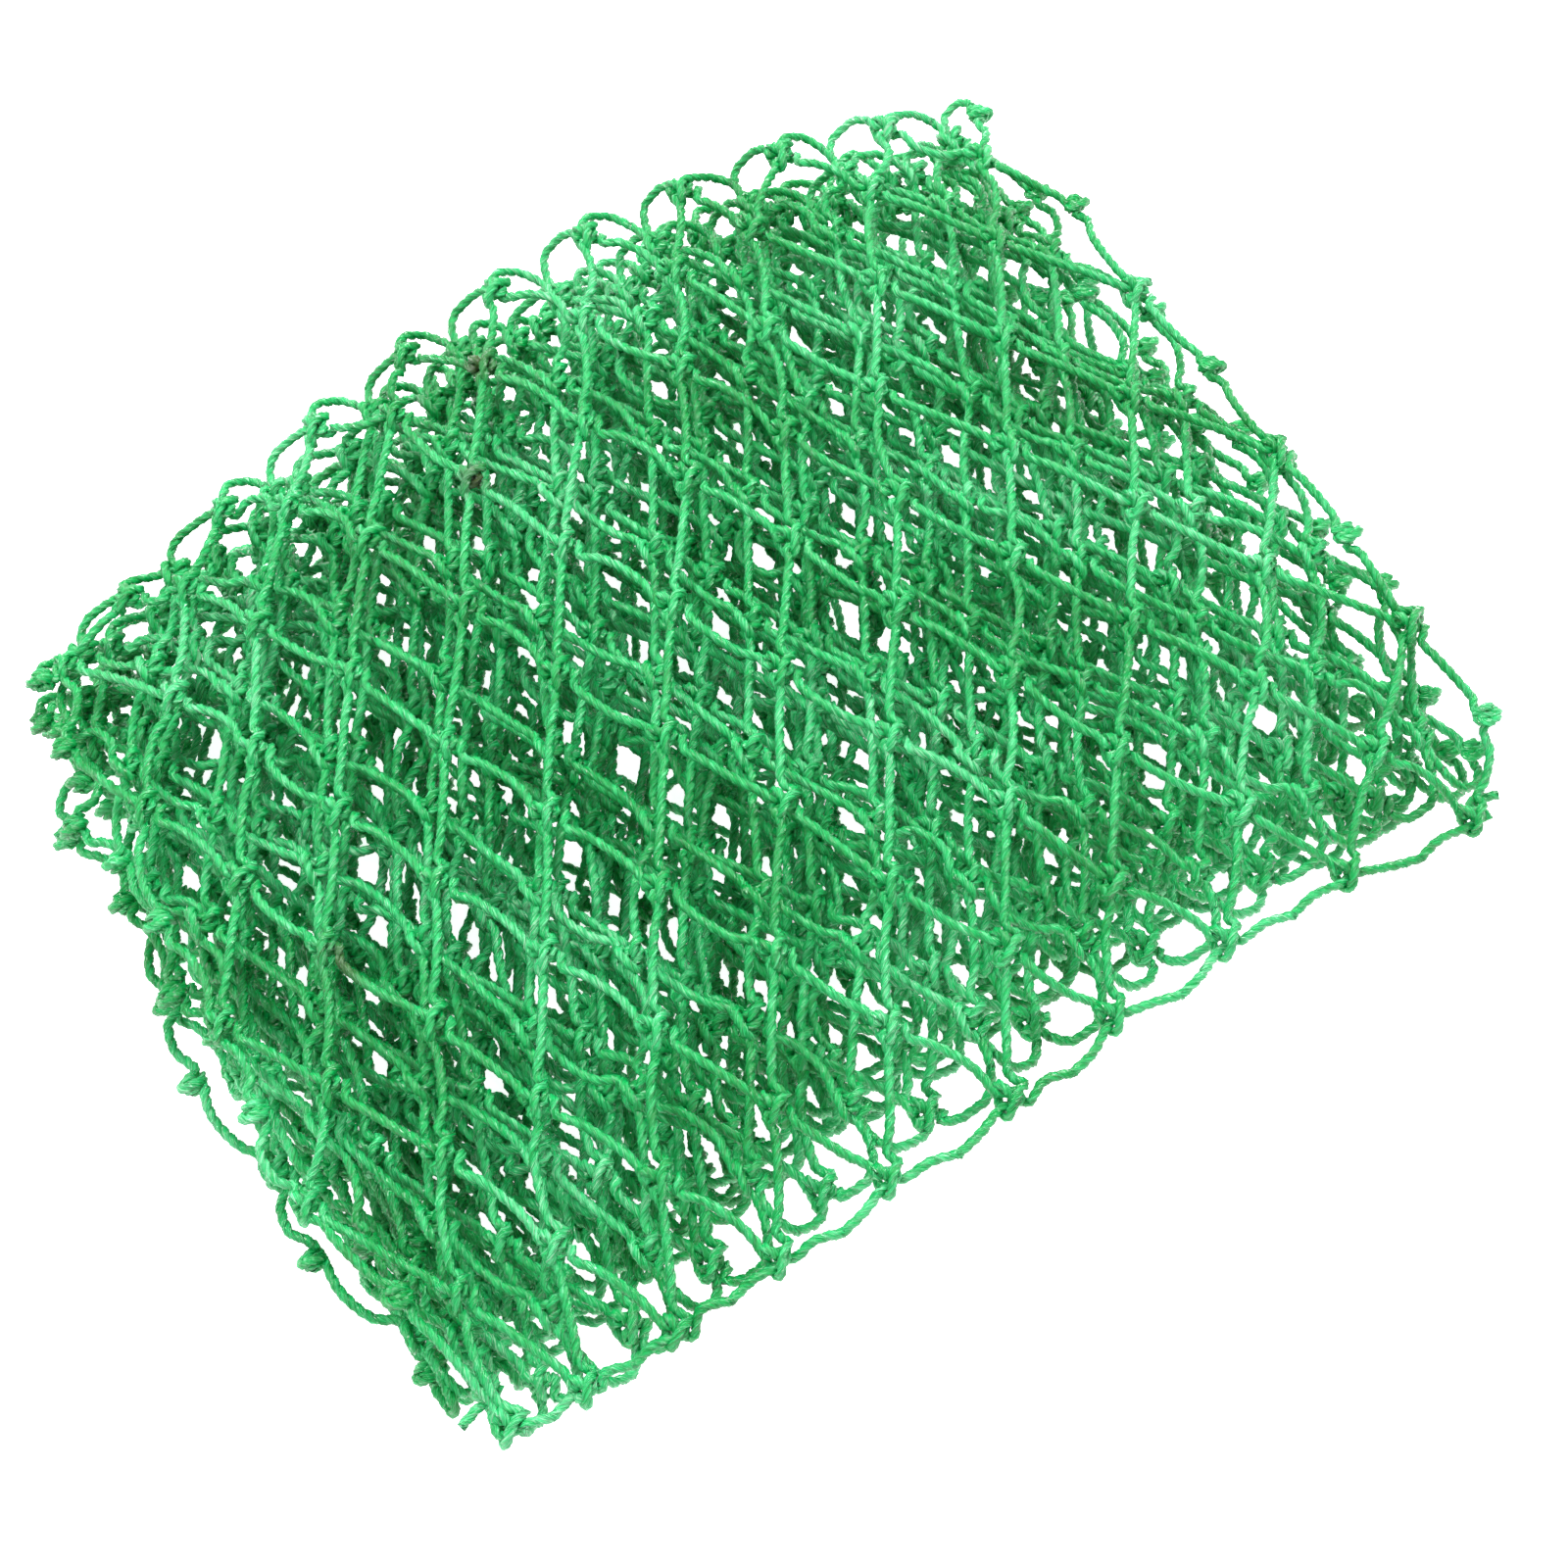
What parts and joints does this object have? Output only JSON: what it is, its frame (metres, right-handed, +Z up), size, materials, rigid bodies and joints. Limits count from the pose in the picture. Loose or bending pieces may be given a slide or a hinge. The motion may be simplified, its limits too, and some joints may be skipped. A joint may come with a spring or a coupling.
{
  "type": "folded fishing netting",
  "caption": "Strip of knotted diamond-mesh fishing netting in laid green twine, accordion-folded into a springy pad whose two top layers open at their folds",
  "frame": {"origin": "centre of the pad's footprint, on the surface it lies on", "axes": "+X along the folds, which is the width of the strip of netting, +Y towards the back fold, +Z up"},
  "size_m": [0.1674, 0.1398, 0.0404],
  "materials": {
    "green_twine": "three-strand laid polyethylene twine, glossy, with fine lengthwise filaments"
  },
  "bodies": {
    "pad": {"twine_01_pad": "green_twine", "twine_02_pad": "green_twine", "twine_03_pad": "green_twine", "twine_04_pad": "green_twine", "twine_05_pad": "green_twine", "twine_06_pad": "green_twine", "twine_07_pad": "green_twine", "twine_08_pad": "green_twine", "twine_09_pad": "green_twine", "twine_10_pad": "green_twine", "twine_11_pad": "green_twine", "twine_12_pad": "green_twine", "twine_13_pad": "green_twine", "twine_14_pad": "green_twine", "twine_15_pad": "green_twine", "twine_16_pad": "green_twine", "twine_17_pad": "green_twine", "twine_18_pad": "green_twine", "twine_19_pad": "green_twine", "twine_20_pad": "green_twine"},
    "second_leaf": {"twine_01_second_leaf": "green_twine", "twine_02_second_leaf": "green_twine", "twine_03_second_leaf": "green_twine", "twine_04_second_leaf": "green_twine", "twine_05_second_leaf": "green_twine", "twine_06_second_leaf": "green_twine", "twine_07_second_leaf": "green_twine", "twine_08_second_leaf": "green_twine", "twine_09_second_leaf": "green_twine", "twine_10_second_leaf": "green_twine", "twine_11_second_leaf": "green_twine", "twine_12_second_leaf": "green_twine", "twine_13_second_leaf": "green_twine", "twine_14_second_leaf": "green_twine", "twine_15_second_leaf": "green_twine", "twine_16_second_leaf": "green_twine", "twine_17_second_leaf": "green_twine", "twine_18_second_leaf": "green_twine", "twine_19_second_leaf": "green_twine", "twine_20_second_leaf": "green_twine"},
    "top_leaf": {"twine_01_top_leaf": "green_twine", "twine_02_top_leaf": "green_twine", "twine_03_top_leaf": "green_twine", "twine_04_top_leaf": "green_twine", "twine_05_top_leaf": "green_twine", "twine_06_top_leaf": "green_twine", "twine_07_top_leaf": "green_twine", "twine_08_top_leaf": "green_twine", "twine_09_top_leaf": "green_twine", "twine_10_top_leaf": "green_twine", "twine_11_top_leaf": "green_twine", "twine_12_top_leaf": "green_twine", "twine_13_top_leaf": "green_twine", "twine_14_top_leaf": "green_twine", "twine_15_top_leaf": "green_twine", "twine_16_top_leaf": "green_twine", "twine_17_top_leaf": "green_twine", "twine_18_top_leaf": "green_twine", "twine_19_top_leaf": "green_twine", "twine_20_top_leaf": "green_twine"}
  },
  "joints": [
    {"name": "front_fold", "type": "hinge", "parent": "pad", "child": "second_leaf", "pos_m": [-0.00141, -0.06379, 0.025], "axis": [0.9968, 0.0797, -0.01], "range_deg": [0, 60]},
    {"name": "back_fold", "type": "hinge", "parent": "second_leaf", "child": "top_leaf", "pos_m": [-0.00141, 0.06371, 0.029], "axis": [-0.9983, -0.0499, -0.0299], "range_deg": [0, 75]}
  ]
}
